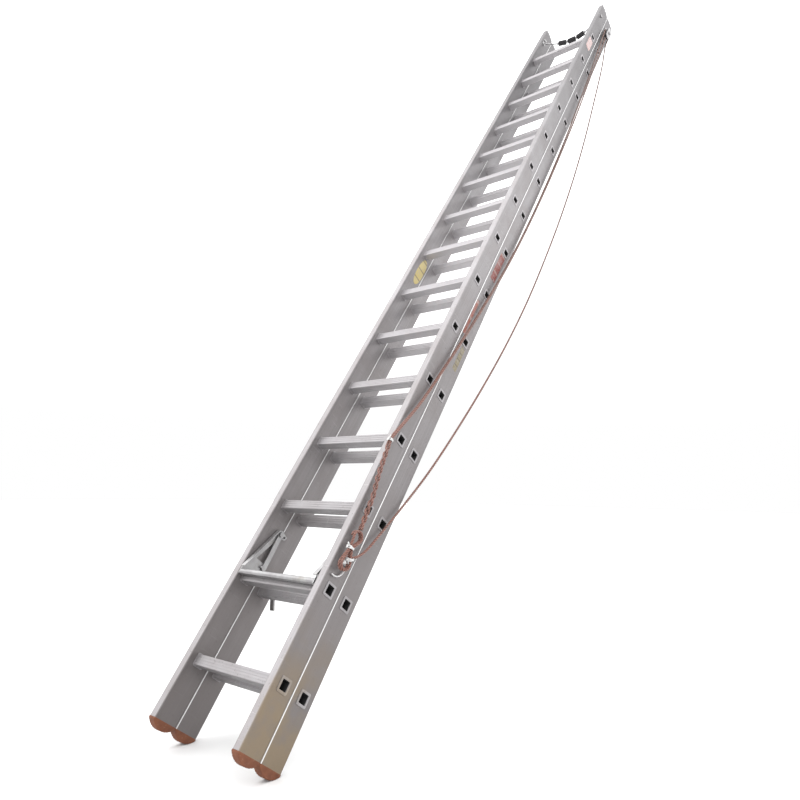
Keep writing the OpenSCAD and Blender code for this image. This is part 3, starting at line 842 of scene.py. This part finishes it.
def label(name, face_x, y, z, width, height, squareness):
    """A plain film on a side face of a fly stile; a squareness of 2 makes it an oval."""
    outline = []
    for k in range(LABEL_SIDES):
        a = 2 * math.pi * k / LABEL_SIDES
        u = math.copysign(abs(math.cos(a)) ** (2 / squareness), math.cos(a))
        v = math.copysign(abs(math.sin(a)) ** (2 / squareness), math.sin(a))
        outline.append((y + u * width / 2, z + v * height / 2))
    verts = [at(x, *p) for x in (face_x, face_x + LABEL_T) for p in outline]
    n = len(outline)
    faces = [(k, (k + 1) % n, n + (k + 1) % n, n + k) for k in range(n)]
    faces += [tuple(range(n - 1, -1, -1)), tuple(range(n, 2 * n))]
    piece = add_mesh(name, verts, faces, FLY_FILM, smooth=False)
    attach(piece, "fly_section")
    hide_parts("fly_stickers")


label("oval_label", -INNER_X, 50.5, 1821, 42, 140, 2.3)
label("top_label", HALF_W, 36, 3585, 40, 100, 9)

# ---------------------------------------------------------------- rubber feet

FOOT_LAYERS = (  # across the foot, and how far the outline is drawn in there
    (-12.5, 1.9), (-12.1, 0.9), (-11.2, 0.25), (-10.2, 0.0), (10.2, 0.0), (11.2, 0.25),
    (12.1, 0.9), (12.5, 1.9),
)  # fmt: skip
TREAD_STEP = 7.0
TREAD_DEPTH = 1.3
TREAD_HALF_SHARE = 0.16  # half a groove's width, over the step
TREAD_MARGIN = 6
SOLE_STEPS = 96
DRAW_IN_Z = -12.0  # the outline is drawn in towards this height, in the foot's middle


def sole_outline():
    """The foot seen from the side: a crowned sole with tread grooves, and a straight collar."""
    half = STILE_D / 2
    outline = [(-half + 1.0, 0.0), (-half, -0.9), (-half, -COLLAR_H)]
    for i in range(1, SOLE_STEPS):
        y = -half + STILE_D * i / SOLE_STEPS
        drop = math.sqrt(SOLE_R**2 - y**2)
        phase = (y / TREAD_STEP) % 1.0
        groove = 0.0
        if abs(y) < half - TREAD_MARGIN:
            groove = max(0.0, 1 - abs(phase - 0.5) / TREAD_HALF_SHARE) ** 0.5
        outline.append((y, SOLE_Z - (drop - groove * TREAD_DEPTH)))
    outline += [(half, -COLLAR_H), (half, -0.9), (half - 1.0, 0.0)]
    return outline


def rubber_foot(side, section, front_y, body):
    outline = sole_outline()
    middle_x = side * (HALF_W - STILE_W / 2)
    middle_y = front_y + STILE_D / 2
    verts, faces = [], []
    for x, inset in FOOT_LAYERS:
        for y, z in outline:
            reach = math.hypot(y, z - DRAW_IN_Z)
            k = 1 - inset / max(reach, 1.0)
            if z < 0:
                z = min(0.0, DRAW_IN_Z + (z - DRAW_IN_Z) * k)
            verts.append(at(middle_x + x, middle_y + y * k, z))
    n = len(outline)
    for i in range(len(FOOT_LAYERS) - 1):
        for k in range(n):
            m = (k + 1) % n
            faces.append((i * n + k, i * n + m, (i + 1) * n + m, (i + 1) * n + k))
    faces.append(tuple(range(n - 1, -1, -1)))
    faces.append(tuple((len(FOOT_LAYERS) - 1) * n + k for k in range(n)))
    word = "left" if side < 0 else "right"
    piece = add_mesh(f"{section}_foot_{word}_sole", verts, faces, FOOT_RUBBER, smooth=False)
    piece.data.shade_smooth()
    piece.data.set_sharp_from_angle(angle=math.radians(35))
    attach(piece, body)
    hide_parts(f"{section}_foot_{word}")


for foot_side in (-1, 1):
    rubber_foot(foot_side, "base", BASE_Y, "base_section")
    rubber_foot(foot_side, "fly", 0.0, "fly_section")

# ---------------------------------------------------------------- floor and light

FLOOR_TONE = 0.62
HORIZON_STRENGTH = 1.0
OVERHEAD_STRENGTH = 2.8
KEY_POWER = 30
KEY_SIZE = (2.4, 2.4)
KEY_PLACE = (-2.6, -3.4, 3.2)
KEY_TARGET = (0, 1.0, 1.4)
FLOOR_HALF = 30

def make_floor():
    bm = bmesh.new()
    bmesh.ops.create_grid(bm, x_segments=8, y_segments=8, size=FLOOR_HALF)
    mesh = bpy.data.meshes.new("floor")
    bm.to_mesh(mesh)
    bm.free()
    floor = bpy.data.objects.new("floor", mesh)
    bpy.context.scene.collection.objects.link(floor)
    s = Shader("floor_paint", roughness=0.9)
    s.set("Base Color", s.mix(s.noise(0.8), grey(FLOOR_TONE), grey(FLOOR_TONE * 1.04)))
    mesh.materials.append(s.material)


def area_light(name, place, target, size, power):
    data = bpy.data.lights.new(name, "AREA")
    data.shape = "RECTANGLE"
    data.size, data.size_y = size
    data.energy = power
    light = bpy.data.objects.new(name, data)
    bpy.context.scene.collection.objects.link(light)
    light.location = place
    light.rotation_euler = (Vector(target) - Vector(place)).to_track_quat("-Z", "Y").to_euler()


def make_light():
    """White studio: level with the horizon at 1 and brighter overhead, with one soft key."""
    world = bpy.data.worlds.new("studio")
    world.use_nodes = True
    tree = world.node_tree
    background = tree.nodes["Background"]
    background.inputs["Color"].default_value = (1.0, 1.0, 1.0, 1)
    coords = tree.nodes.new("ShaderNodeTexCoord")
    split = tree.nodes.new("ShaderNodeSeparateXYZ")
    rise = tree.nodes.new("ShaderNodeMapRange")
    rise.inputs["From Min"].default_value = 0.1
    rise.inputs["From Max"].default_value = 0.8
    rise.inputs["To Min"].default_value = HORIZON_STRENGTH
    rise.inputs["To Max"].default_value = OVERHEAD_STRENGTH
    tree.links.new(coords.outputs["Generated"], split.inputs["Vector"])
    tree.links.new(split.outputs["Z"], rise.inputs["Value"])
    tree.links.new(rise.outputs["Result"], background.inputs["Strength"])
    bpy.context.scene.world = world
    area_light("key", KEY_PLACE, KEY_TARGET, KEY_SIZE, KEY_POWER)


make_floor()
make_light()
